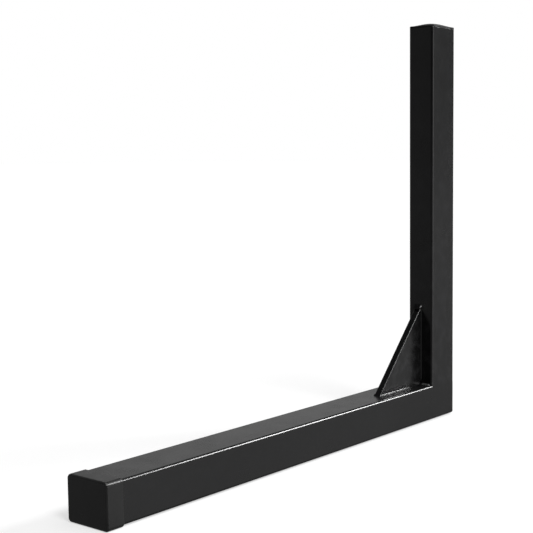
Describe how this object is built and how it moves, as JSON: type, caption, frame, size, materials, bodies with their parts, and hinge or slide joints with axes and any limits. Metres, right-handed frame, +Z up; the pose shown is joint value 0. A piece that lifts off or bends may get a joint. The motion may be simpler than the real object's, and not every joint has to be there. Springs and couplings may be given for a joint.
{
  "type": "steel tube angle bracket",
  "caption": "L-shaped bracket welded from rectangular steel tube, with a triangular gusset in the corner, a slip-over end cap and a top plug.",
  "frame": {"origin": "middle of the footprint, on the ground", "axes": "+X along the base arm towards the upright, +Z up along the upright, +Y across the tubes, away from the flush front face"},
  "size_m": [0.697, 0.0632, 0.575],
  "materials": {
    "powder_coated_steel": "black powder coat, satin, with a fine even texture",
    "powder_coated_weld": "weld bead under the same black powder coat",
    "cap_plastic": "moulded black plastic, satin, round edges",
    "plug_plastic": "moulded black plastic, smooth crowned head"
  },
  "bodies": {
    "root": {"base_tube": "powder_coated_steel", "base_end_plate": "powder_coated_steel", "end_plate_weld": "powder_coated_weld", "upright_tube": "powder_coated_steel", "foot_groove_weld": "powder_coated_weld", "foot_inner_weld": "powder_coated_weld", "foot_back_weld": "powder_coated_weld", "gusset_plate": "powder_coated_steel", "gusset_base_weld_front": "powder_coated_weld", "gusset_base_weld_back": "powder_coated_weld", "gusset_upright_weld_front": "powder_coated_weld", "gusset_upright_weld_back": "powder_coated_weld", "gusset_toe_weld": "powder_coated_weld", "gusset_tip_weld": "powder_coated_weld", "base_end_cap": "cap_plastic", "upright_top_plug": "plug_plastic"}
  },
  "joints": []
}
